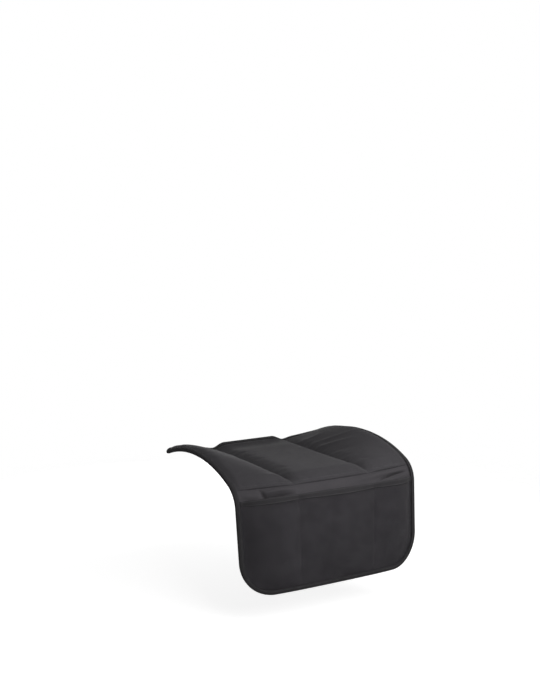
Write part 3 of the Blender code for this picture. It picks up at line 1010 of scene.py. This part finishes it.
@dataclass
class SeatPad:
    """The padded panel: cover and foam sewn through along two channels.

    The rows near the front seam are given as distances from it.
    """

    shop: Workshop
    cell: float = 0.0046
    side_foot: float = 0.012
    side_share: float = 0.35
    side_reach: float = 0.085
    foot: float = 0.024
    foot_share: float = 0.68
    front_fill: float = 0.75
    front_round: float = 0.005
    front_share: float = 0.36
    front_rise: float = 0.034
    front_edge: float = 0.15
    overhang: float = 0.0016
    front_start: float = 0.010
    front_rows: tuple[float, ...] = (-0.0070, -0.0045, -0.0026, -0.0012, -0.0003, 0.0006, 0.0012)
    swell_pressure: float = 4.0
    spare_cloth: float = 0.012
    swell_cap: float = 0.0010
    held_channel: float = 0.0010
    held_front: float = 0.0015
    frames: int = 20
    folds: tuple[Fold, ...] = (
        Fold((0.092, 0.128), (0.186, 0.196), 0.0030, 0.0060, -0.004),
        Fold((0.100, 0.172), (0.168, 0.232), -0.0022, 0.0130, -0.006),
        Fold((0.104, 0.105), (0.218, 0.166), 0.0020, 0.0055, -0.006),
        Fold((0.098, 0.060), (0.165, 0.085), 0.0014, 0.0070, -0.004),
        Fold((-0.100, 0.120), (-0.175, 0.175), 0.0016, 0.0080, 0.004),
    )

    def height(self, x: Array, s: Array) -> Array:
        """Height of the pad's top over the draped surface.

        It is the edge's height plus the full height times the shares of the sides, the
        channels and the front, each a smooth rise from its seam. At a channel the rise has a
        steep foot and a long shoulder, and the pad is fuller to the front.

        Args:
            x: Places across the mat.
            s: Cloth lengths.

        Returns:
            The height at each place.
        """
        z = self.shop.sizes
        inside = self.shop.pattern.edge_distance(x, s) - z.binding
        sides = self.side_share * smooth(inside / self.side_foot)
        sides = sides + (1.0 - self.side_share) * smooth(inside / self.side_reach)
        reach = z.channel_reach + z.channel_spread * s / z.panel_length
        away = np.abs(np.abs(x) - z.channel)
        channels = self.foot_share * swell(away / self.foot)
        channels = channels + (1.0 - self.foot_share) * swell(away / reach)
        fill = 1.0 + self.front_fill * smooth(s / z.panel_length)
        to_front = np.clip((z.panel_length + self.overhang - s) / self.front_round, 0.0, 1.0)
        rise = smooth((z.panel_length - s) / self.front_rise)
        front = np.sqrt(1.0 - (1.0 - to_front) ** 2)
        front = front * (self.front_share + (1.0 - self.front_share) * rise)
        pillow = (z.pad - z.pad_edge) * sides * channels * front * fill
        creases = sum(fold.at(x, s) for fold in self.folds) * sides * channels
        edge = z.pad_edge * (self.front_edge + (1.0 - self.front_edge) * front)
        return z.gap / 2 + edge + pillow + creases

    def build(self) -> Piece:
        """Build, sew and puff the pad.

        Returns:
            The pad.
        """
        z, drape = self.shop.sizes, self.shop.drape
        rows = self.shop.pattern.rows(0.0, z.panel_length - self.front_start, self.cell)
        front = z.panel_length + np.array((*self.front_rows, self.overhang))
        x, s = self.shop.pattern.grid(np.concatenate([rows, front]), self.cell)
        low, high = drape.lay(x, s, z.gap / 2), drape.lay(x, s, self.height(x, s))
        high = high + self.puffed(x, s, low, high)
        pad = add_cloth("seat_pad", x, s, low, high, self.shop.cloths["cover_cloth"])
        rounding = pad.modifiers.new("rounding", "SUBSURF")
        rounding.levels = rounding.render_levels = 1
        rounding.uv_smooth = "NONE"
        self.shop.finish_piece(pad, "seat_panel")
        return pad

    def puffed(self, x: Array, s: Array, low: Array, high: Array) -> Array:
        """How far the cover moves when it is blown up with spare cloth between its seams.

        Each move d is eased to c tanh(d/c), with c the cap.

        Args:
            x: Flat x of the grid.
            s: Flat s of the grid.
            low: Under points.
            high: Upper points.

        Returns:
            The move of each upper point, capped.
        """
        z = self.shop.sizes
        test = add_cloth("pad_test", x, s, low, high, self.shop.cloths["cover_cloth"])
        seam = np.abs(np.abs(x) - z.channel) < self.held_channel
        seam = seam | (s > z.panel_length - self.held_front)
        seam = seam | (self.shop.pattern.edge_distance(x, s) < z.binding)
        held = np.concatenate([np.ones(x.size, bool), seam.ravel()])
        test.vertex_groups.new(name="seams").add(np.flatnonzero(held).tolist(), 1.0, "REPLACE")
        cloth = test.modifiers.new("puff", "CLOTH")
        settings = {
            "quality": 6, "mass": 0.15, "tension_stiffness": 12.0, "compression_stiffness": 12.0,
            "shear_stiffness": 6.0, "bending_stiffness": 0.4, "use_pressure": True,
            "uniform_pressure_force": self.swell_pressure, "shrink_min": -self.spare_cloth,
            "shrink_max": -self.spare_cloth, "vertex_group_mass": "seams",
        }
        for key, value in settings.items():
            setattr(cloth.settings, key, value)
        cloth.settings.effector_weights.gravity = 0.0
        cloth.collision_settings.use_collision = False
        cloth.point_cache.frame_start, cloth.point_cache.frame_end = 1, self.frames
        scene = bpy.context.scene
        for number in range(1, self.frames + 1):
            scene.frame_set(number)
        shown = test.evaluated_get(bpy.context.evaluated_depsgraph_get())
        moved = np.zeros(2 * high.size, dtype=np.float32)
        shown.data.vertices.foreach_get("co", moved)
        scene.frame_set(1)
        mesh = test.data
        bpy.data.objects.remove(test, do_unlink=True)
        bpy.data.meshes.remove(mesh)
        move = moved.reshape(2, *high.shape)[1].astype(float) - high
        length = np.linalg.norm(move, axis=-1, keepdims=True)
        most, mean = 1000.0 * length.max(), 1000.0 * length.mean()
        LOG.info("pad puffed by up to %.1f mm, mean %.1f mm", most, mean)
        return move * (np.tanh(length / self.swell_cap) * self.swell_cap / np.maximum(length, 1e-9))


@dataclass
class Backing:
    """The non-slip cloth under the panel."""

    shop: Workshop
    cell: float = 0.009

    def build(self) -> Piece:
        """Build the backing.

        Returns:
            The backing.
        """
        z, top = self.shop.sizes, -self.shop.sizes.gap / 2
        rows = self.shop.pattern.rows(0.0, z.panel_length - z.tuck - z.gap, self.cell)
        flat = self.shop.pattern.grid(rows, self.cell)
        names = ("grip_backing", "anti_slip_backing", "grip_cloth")
        return self.shop.cut(*names, flat, top - z.backing, top)


@dataclass
class FrontFlap:
    """The cloth that hangs down at the front, with creases above the pockets."""

    shop: Workshop
    cell: float = 0.0045
    column: float = 0.0030
    strip_cell: float = 0.0014
    slack_height: float = 0.0004
    slack_width: float = 0.11
    slack_length: float = 0.07
    set_back: float = 0.0006
    edge_ease: float = 0.02
    seam_clear: float = 0.001
    seam_ease: float = 0.006
    folds: tuple[Fold, ...] = (
        Fold((-0.173, 0.343), (-0.164, 0.374), -0.0050, 0.0034),
        Fold((-0.216, 0.356), (-0.176, 0.358), 0.0030, 0.0060),
        Fold((-0.176, 0.354), (-0.090, 0.352), 0.0056, 0.0048, 0.002),
        Fold((-0.176, 0.367), (-0.098, 0.364), -0.0060, 0.0046, 0.001),
        Fold((0.050, 0.354), (0.210, 0.352), 0.0050, 0.0055, 0.002),
        Fold((0.118, 0.367), (0.218, 0.357), -0.0062, 0.0038, 0.003),
    )

    def build(self) -> Piece:
        """Build the flap.

        Returns:
            The flap.
        """
        z, pattern = self.shop.sizes, self.shop.pattern
        strip = np.arange(z.panel_length - z.tuck, z.pocket_top + z.hem, self.strip_cell)
        rows = pattern.rows(strip[-1] + self.cell, z.length, self.cell)
        x, s = pattern.grid(np.concatenate([strip, rows]), self.column)
        free = smooth((pattern.edge_distance(x, s) - z.binding) / self.edge_ease)
        free = free * smooth((s - z.panel_length - self.seam_clear) / self.seam_ease)
        slack = self.slack_height * ripple(x / self.slack_width, s / self.slack_length, 5)
        slack = (slack + sum(fold.at(x, s) for fold in self.folds) - self.set_back) * free
        top = slack - z.gap / 2
        return self.shop.cut("front_flap_cloth", "front_flap", "flap_cloth", (x, s), top - z.flap, top)


@dataclass
class Pockets:
    """The net over the flap, its folded hem, and the lines that divide it into three."""

    shop: Workshop
    cell: float = 0.0040
    net: float = 0.0004
    tape: float = 0.0006
    tape_clear: float = 0.0003
    under_tape: float = 0.0004
    hem_ease: float = 0.012
    hem_columns: int = 221
    wrinkle: float = 0.0005
    wrinkle_width: float = 0.060
    wrinkle_length: float = 0.12
    wrinkle_start: float = 0.03
    sag_reach: float = 0.08
    flat_share: float = 0.3

    def top(self, x: Array) -> Array:
        """Cloth length of the top edge, which sags towards the right."""
        z = self.shop.sizes
        return z.pocket_top + z.hem_sag * smooth((x + z.channel) / (z.half + z.channel))

    def height(self, x: Array, drop: Array) -> Array:
        """Height of the net's back face: sewn down at the dividers, full between them.

        The middle pocket bulges by 1 - (x/c)² and each outer one by 4t (1 - t).

        Args:
            x: Places across the mat.
            drop: Cloth length below the top edge.

        Returns:
            The height off the draped surface.
        """
        z = self.shop.sizes
        side = np.abs(x)
        t = np.clip((side - z.channel) / (z.half - z.binding - z.channel), 0.0, 1.0)
        middle = 1.0 - np.clip(side / z.channel, 0.0, 1.0) ** 2
        arch = np.where(side < z.channel, middle, 4.0 * t * (1.0 - t))
        s = self.top(x) + drop
        down = np.clip(drop / (z.length - z.binding - z.pocket_top), 0.0, 1.0)
        depth = (1.0 - down) * (z.mouth + 4.0 * z.fullness * down)
        corner = swell((self.shop.pattern.edge_distance(x, s) - z.binding) / z.corner_ease)
        under_hem = 1.0 - smooth((drop - z.hem) / self.hem_ease)
        sewn = z.gap / 2 + (self.tape + self.under_tape) * under_hem
        uneven = ripple(x / self.wrinkle_width, s / self.wrinkle_length, 11)
        wrinkle = np.abs(self.wrinkle * uneven * np.sqrt(np.clip(arch, 0.0, 1.0)))
        return sewn + depth * arch * corner + wrinkle * smooth(drop / self.wrinkle_start) * corner

    def make_net(self) -> Piece:
        """Build the net.

        Returns:
            The net.
        """
        z = self.shop.sizes
        start = z.pocket_top + self.tape
        x, s = self.shop.pattern.grid(self.shop.pattern.rows(start, z.length, self.cell), self.cell)
        share = 1.0 - np.clip((s - start) / self.sag_reach, 0.0, 1.0)
        s = s + (self.top(x) - z.pocket_top) * smooth(share)
        back = self.height(x, s - self.top(x))
        names = ("pocket_net_cloth", "pocket_net", "pocket_net")
        return self.shop.cut(*names, (x, s), back, back + self.net)

    def make_hem(self) -> Piece:
        """Build the tape that is folded over the net's top edge.

        Its section is a list of places, each a drop below the edge and a height off the net.

        Returns:
            The hem.
        """
        z = self.shop.sizes
        end = z.half - z.binding - z.gap
        x = np.linspace(-end, end, self.hem_columns)
        wall, half, low = self.tape, z.hem / 2, z.hem
        back, front = -self.tape_clear, self.net + self.tape_clear
        outline = (
            (low, back - wall), (half, back - wall), (0.0006, back - wall), (0.0, back - 0.6 * wall),
            (0.0, front + 0.6 * wall), (0.0006, front + wall), (0.003, front + wall * 1.25),
            (half, front + wall * 1.1), (low - 0.0012, front + wall * 1.2), (low, front + wall * 0.8),
            (low, front), (half, front), (wall, front), (wall, back), (half, back), (low, back),
        )
        rings = []
        for down, off in outline:
            drop = np.full(x.shape, down)
            s = self.top(x) + drop
            rings.append((x, s, self.height(x, drop) + off, x, s + self.flat_share * off))
        return self.shop.tape("pocket_hem_tape", "pocket_hem", "hem_tape", rings, False)


@dataclass
class Binding:
    """The tape that is folded round the whole outer edge, slightly puckered by its stitches."""

    shop: Workshop
    cell: float = 0.0032
    pucker: float = 0.00022
    pucker_pitch: float = 0.0062
    drift: float = 1.3
    drift_length: float = 0.05

    def build(self) -> Piece:
        """Build the binding.

        Its section is a list of places, each a distance inward and a height off the drape.

        Returns:
            The binding.
        """
        z = self.shop.sizes
        wall, w = z.binding_wall, z.binding
        top = z.gap / 2 + z.pad_edge + z.binding_clear
        bottom = -(z.gap / 2 + z.flap + z.binding_clear)
        outline = (
            (wall, top), (wall, bottom), (w, bottom), (w, bottom - 0.7 * wall),
            (w - 0.0012, bottom - wall), (0.5 * w, bottom - 1.1 * wall), (0.0022, bottom - wall),
            (0.0007, bottom - 0.45 * wall),
            (0.0, bottom + 0.9 * wall), (-0.0002, (top + bottom) / 2), (0.0, top - 0.9 * wall),
            (0.0007, top + 0.45 * wall), (0.0022, top + wall), (0.5 * w, top + 1.35 * wall),
            (w - 0.0024, top + 0.8 * wall), (w - 0.0008, top + 1.05 * wall), (w, top + 0.6 * wall),
            (w, top),
        )
        path = self.shop.pattern.outline(self.cell)
        along = np.concatenate([[0.0], np.cumsum(np.hypot(*np.diff(path[:, :2], axis=0).T))])
        drift = self.drift * ripple(along / self.drift_length, 0.0 * along, 3)
        wave = 2.0 * math.pi * along / self.pucker_pitch + drift
        rings = []
        for inward, off in outline:
            x, s = (path[:, :2] + inward * path[:, 2:]).T
            share = 0.0 if off in (top, bottom) else math.sin(math.pi * min(1.0, inward / w))
            height = off + np.sign(off) * self.pucker * np.sin(wave) * share
            rings.append((x, s, height, along, np.full(x.shape, inward + off)))
        return self.shop.tape("edge_binding_tape", "edge_binding", "binding_tape", rings, True)


@dataclass
class Stitching:
    """Rows of sewing thread, each stitch a small raised capsule."""

    shop: Workshop
    pockets: Pockets
    pad: SeatPad
    pitch: float = 0.0042
    stitch: float = 0.0030
    radius: float = 0.00032
    sides: int = 6
    across_points: int = 400
    panel_points: int = 300
    flap_points: int = 150
    outline_cell: float = 0.003
    sunk: float = 0.35
    from_binding: float = 0.0026
    side_inset: float = 0.003
    rear_inset: float = 0.016
    front_inset: float = 0.006
    divider_inset: float = 0.002
    seam_inset: float = 0.0045
    hem_insets: tuple[float, float] = (0.0016, 0.0018)
    on_tape: float = 1.15
    on_binding: float = 0.8
    under_binding: float = 0.7
    rows: list[tuple[Array, Array]] = field(default_factory=list)

    def sew(self, x: Array, s: Array, height: Array | float, under: bool = False) -> None:
        """Add the stitches of one line.

        Args:
            x: Flat x along the line.
            s: Flat s along the line.
            height: Height of the cloth's face there.
            under: True if they lie on the under side.
        """
        raised = np.broadcast_to(height, np.shape(x)) + self.sunk * self.radius
        points = self.shop.drape.lay(x, s, raised)
        up = self.shop.drape.normal(np.asarray(x, float), np.asarray(s, float))
        length = np.concatenate([[0.0], np.cumsum(np.linalg.norm(np.diff(points, axis=0), axis=1))])
        count = int(length[-1] / self.pitch)
        middle = (np.arange(count) + 0.5) * length[-1] / count

        def at(values: Array, where: Array) -> Array:
            """Reads points along the line."""
            return np.stack([np.interp(where, length, values[:, k]) for k in range(3)], axis=1)

        ahead = at(points, middle + 0.4 * self.stitch) - at(points, middle - 0.4 * self.stitch)
        ahead /= np.linalg.norm(ahead, axis=1, keepdims=True)
        rise = at(up, middle)
        rise -= ahead * np.sum(rise * ahead, axis=1, keepdims=True)
        rise /= np.linalg.norm(rise, axis=1, keepdims=True)
        axes = np.stack([ahead, np.cross(rise, ahead), rise], axis=1)
        if under:
            axes = axes * np.array([1.0, -1.0, -1.0])[None, :, None]
        self.rows.append((at(points, middle), axes))

    def capsule(self) -> tuple[Array, Array]:
        """One stitch: rings along its length that get smaller and sink in at both ends.

        Returns:
            Its points and its four-sided faces.
        """
        t = np.array([-1.0, -0.86, -0.45, 0.45, 0.86, 1.0])
        size = np.array([0.25, 0.75, 1.0, 1.0, 0.75, 0.25]) * self.radius
        sink = np.array([-1.3, -0.5, 0.0, 0.0, -0.5, -1.3]) * self.radius
        angle = np.linspace(0.0, 2.0 * math.pi, self.sides, endpoint=False)
        ring = np.stack([np.zeros(self.sides), np.cos(angle), np.sin(angle)], axis=1)
        points = ring[None] * size[:, None, None]
        points[..., 0] = t[:, None] * self.stitch / 2
        points[..., 2] += sink[:, None]
        index = np.arange(len(t) * self.sides).reshape(len(t), self.sides)
        wrap = np.hstack([index, index[:, :1]])
        faces = np.stack([wrap[:-1, :-1], wrap[:-1, 1:], wrap[1:, 1:], wrap[1:, :-1]], axis=-1)
        cap = np.array([[0, 5, 2, 1], [5, 4, 3, 2]])
        faces = np.vstack([faces.reshape(-1, 4), cap, cap[:, ::-1] + index[-1, 0]])
        return points.reshape(-1, 3), faces

    def build(self) -> Piece:
        """Sew every line of the mat.

        Returns:
            All the stitches as one piece.
        """
        z, pockets, pad = self.shop.sizes, self.pockets, self.pad
        wide = z.half - z.binding - self.side_inset
        across = np.linspace(-wide, wide, self.across_points)
        front = z.panel_length - self.front_inset
        down = np.linspace(self.rear_inset, front, self.panel_points)
        foot = z.length - z.binding - self.divider_inset
        low = np.linspace(z.pocket_top + z.hem + self.divider_inset, foot, self.flap_points)
        for channel in (-z.channel, z.channel):
            x = np.full(down.shape, channel)
            self.sew(x, down, pad.height(x, down))
            self.sew(np.full(low.shape, channel), low, z.gap / 2 + pockets.net)
        seam = np.full(across.shape, z.panel_length - self.seam_inset)
        self.sew(across, seam, pad.height(across, seam))
        for drop in (self.hem_insets[0], z.hem - self.hem_insets[1]):
            height = pockets.height(across, np.full(across.shape, drop))
            face = height + pockets.net + pockets.tape_clear + self.on_tape * pockets.tape
            self.sew(across, pockets.top(across) + drop, face)
        path = self.shop.pattern.outline(self.outline_cell)
        path = np.vstack([path, path[:1]])
        x, s = (path[:, :2] + (z.binding - self.from_binding) * path[:, 2:]).T
        self.sew(x, s, z.gap / 2 + z.pad_edge + z.binding_clear + self.on_binding * z.binding_wall)
        face = z.gap / 2 + z.flap + z.binding_clear + z.binding_wall
        self.sew(x, s, -face - self.under_binding * self.radius, under=True)
        points, faces = self.capsule()
        centre = np.vstack([c for c, _ in self.rows])
        axes = np.vstack([a for _, a in self.rows])
        placed = centre[:, None, :] + np.einsum("pk,nkj->npj", points, axes)
        all_faces = faces[None] + (np.arange(len(centre)) * len(points))[:, None, None]
        thread = self.shop.cloths["sewing_thread"]
        piece = add_piece("stitches", placed, all_faces.reshape(-1, 4), placed[..., :2], thread)
        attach(piece, BODY)
        LOG.info("stitches: %d", len(centre))
        return piece


# Studio


@dataclass(frozen=True)
class Lamp:
    """One soft square lamp: its name, its place, its power in watts and its side length."""

    name: str
    place: Triple
    watts: float
    size: float


@dataclass
class Studio:
    """Camera, floor, lamps and surroundings."""

    focal_pixels: float = 1100.0
    frame_pixels: float = 700.0
    sensor: float = 36.0
    place: Triple = (-1.2788, -2.0836, 0.5955)
    yaw: float = math.radians(30.66)
    pitch: float = math.radians(7.97)
    floor_half: float = 14.0
    floor_height: float = -0.30
    floor_near: float = 0.75
    floor_far: float = 1.5
    floor_tone: float = 0.72
    floor_glow: float = 0.80
    ambient: float = 0.15
    aim: Triple = (0.0, -0.06, -0.05)
    lamps: tuple[Lamp, ...] = (
        Lamp("key", (0.42, -0.55, 0.62), 4.6, 0.4),
        Lamp("front", (-0.15, -0.80, 0.30), 3.4, 0.4),
        Lamp("behind", (0.35, 1.25, -0.10), 7.0, 0.6),
    )

    def camera(self) -> None:
        """Set the camera at the photograph's place."""
        data = bpy.data.cameras.new("camera")
        data.lens = self.focal_pixels * self.sensor / self.frame_pixels
        data.sensor_width = self.sensor
        camera = bpy.data.objects.new("camera", data)
        camera.location = self.place
        camera.rotation_euler = (QUARTER - self.pitch, 0.0, -self.yaw)
        bpy.context.scene.collection.objects.link(camera)
        bpy.context.scene.camera = camera

    def world(self) -> None:
        """White for the camera, a plain level for everything else."""
        world = bpy.data.worlds.new("surroundings")
        bpy.context.scene.world = world
        world.use_nodes = True
        n = Nodes(world.node_tree)
        back = world.node_tree.nodes["Background"]
        rays = n.add("ShaderNodeLightPath").outputs
        seen = n.math("MAXIMUM", rays["Is Camera Ray"], rays["Is Transmission Ray"])
        seen = n.math("MAXIMUM", seen, rays["Is Glossy Ray"])
        n.feed(back.inputs["Color"], (1.0, 1.0, 1.0, 1.0))
        level = n.math("MULTIPLY_ADD", seen, 1.0 - self.ambient, self.ambient)
        n.feed(back.inputs["Strength"], level)

    def floor(self) -> None:
        """A pale floor that shows white where it is lit and keeps the mat's shadow."""
        size, z = self.floor_half, self.floor_height
        mesh = bpy.data.meshes.new("floor")
        corners = [(-size, -size, z), (size, -size, z), (size, size, z), (-size, size, z)]
        mesh.from_pydata(corners, [], [(0, 1, 2, 3)])
        floor = bpy.data.objects.new("floor", mesh)
        bpy.context.scene.collection.objects.link(floor)
        material = bpy.data.materials.new("pale_floor")
        material.use_nodes = True
        tree = material.node_tree
        tree.nodes.remove(tree.nodes["Principled BSDF"])
        n = Nodes(tree)
        diffuse = n.add("ShaderNodeBsdfDiffuse", (*[self.floor_tone] * 3, 1.0))
        rays = n.add("ShaderNodeLightPath").outputs
        seen = n.math("MAXIMUM", rays["Is Camera Ray"], rays["Is Glossy Ray"])
        glow = n.add("ShaderNodeEmission")
        n.feed(glow.inputs["Strength"], n.math("MULTIPLY", seen, self.floor_glow))
        both = n.add("ShaderNodeAddShader", diffuse.outputs[0], glow.outputs[0])
        place = n.add("ShaderNodeTexCoord").outputs["Object"]
        away = n.add("ShaderNodeVectorMath", place, operation="LENGTH").outputs["Value"]
        back = n.add("ShaderNodeNewGeometry").outputs["Backfacing"]
        hidden = n.math("MAXIMUM", n.ramp(away, self.floor_near, self.floor_far), back)
        clear = n.add("ShaderNodeBsdfTransparent")
        shown = n.add("ShaderNodeMixShader", hidden, both.outputs[0], clear.outputs[0])
        n.feed(tree.nodes["Material Output"].inputs["Surface"], shown.outputs[0])
        mesh.materials.append(material)

    def hang(self, lamp: Lamp) -> None:
        """Add a lamp that faces the mat.

        Args:
            lamp: The lamp.
        """
        data = bpy.data.lights.new(lamp.name, "AREA")
        data.energy = lamp.watts
        data.size = lamp.size
        light = bpy.data.objects.new(lamp.name, data)
        light.location = lamp.place
        way = Vector(self.aim) - Vector(lamp.place)
        light.rotation_euler = way.to_track_quat("-Z", "Y").to_euler()
        bpy.context.scene.collection.objects.link(light)

    def build(self) -> None:
        """Set up everything round the mat."""
        bpy.context.scene.view_settings.view_transform = "Standard"
        self.camera()
        self.world()
        self.floor()
        for lamp in self.lamps:
            self.hang(lamp)


def main() -> None:
    """Build the mat and the studio round it."""
    logging.basicConfig(level=logging.INFO, format="%(name)s: %(message)s")
    sizes = Sizes()
    Studio().build()
    shop = Workshop(sizes, Drape(sizes), Pattern(sizes), make_finishes())
    pad = SeatPad(shop)
    pockets = Pockets(shop)
    pieces = {
        "pad": pad.build(),
        "backing": Backing(shop).build(),
        "flap": FrontFlap(shop).build(),
        "net": pockets.make_net(),
        "hem": pockets.make_hem(),
        "binding": Binding(shop).build(),
        "stitches": Stitching(shop, pockets, pad).build(),
    }


if __name__ == "__main__":
    main()
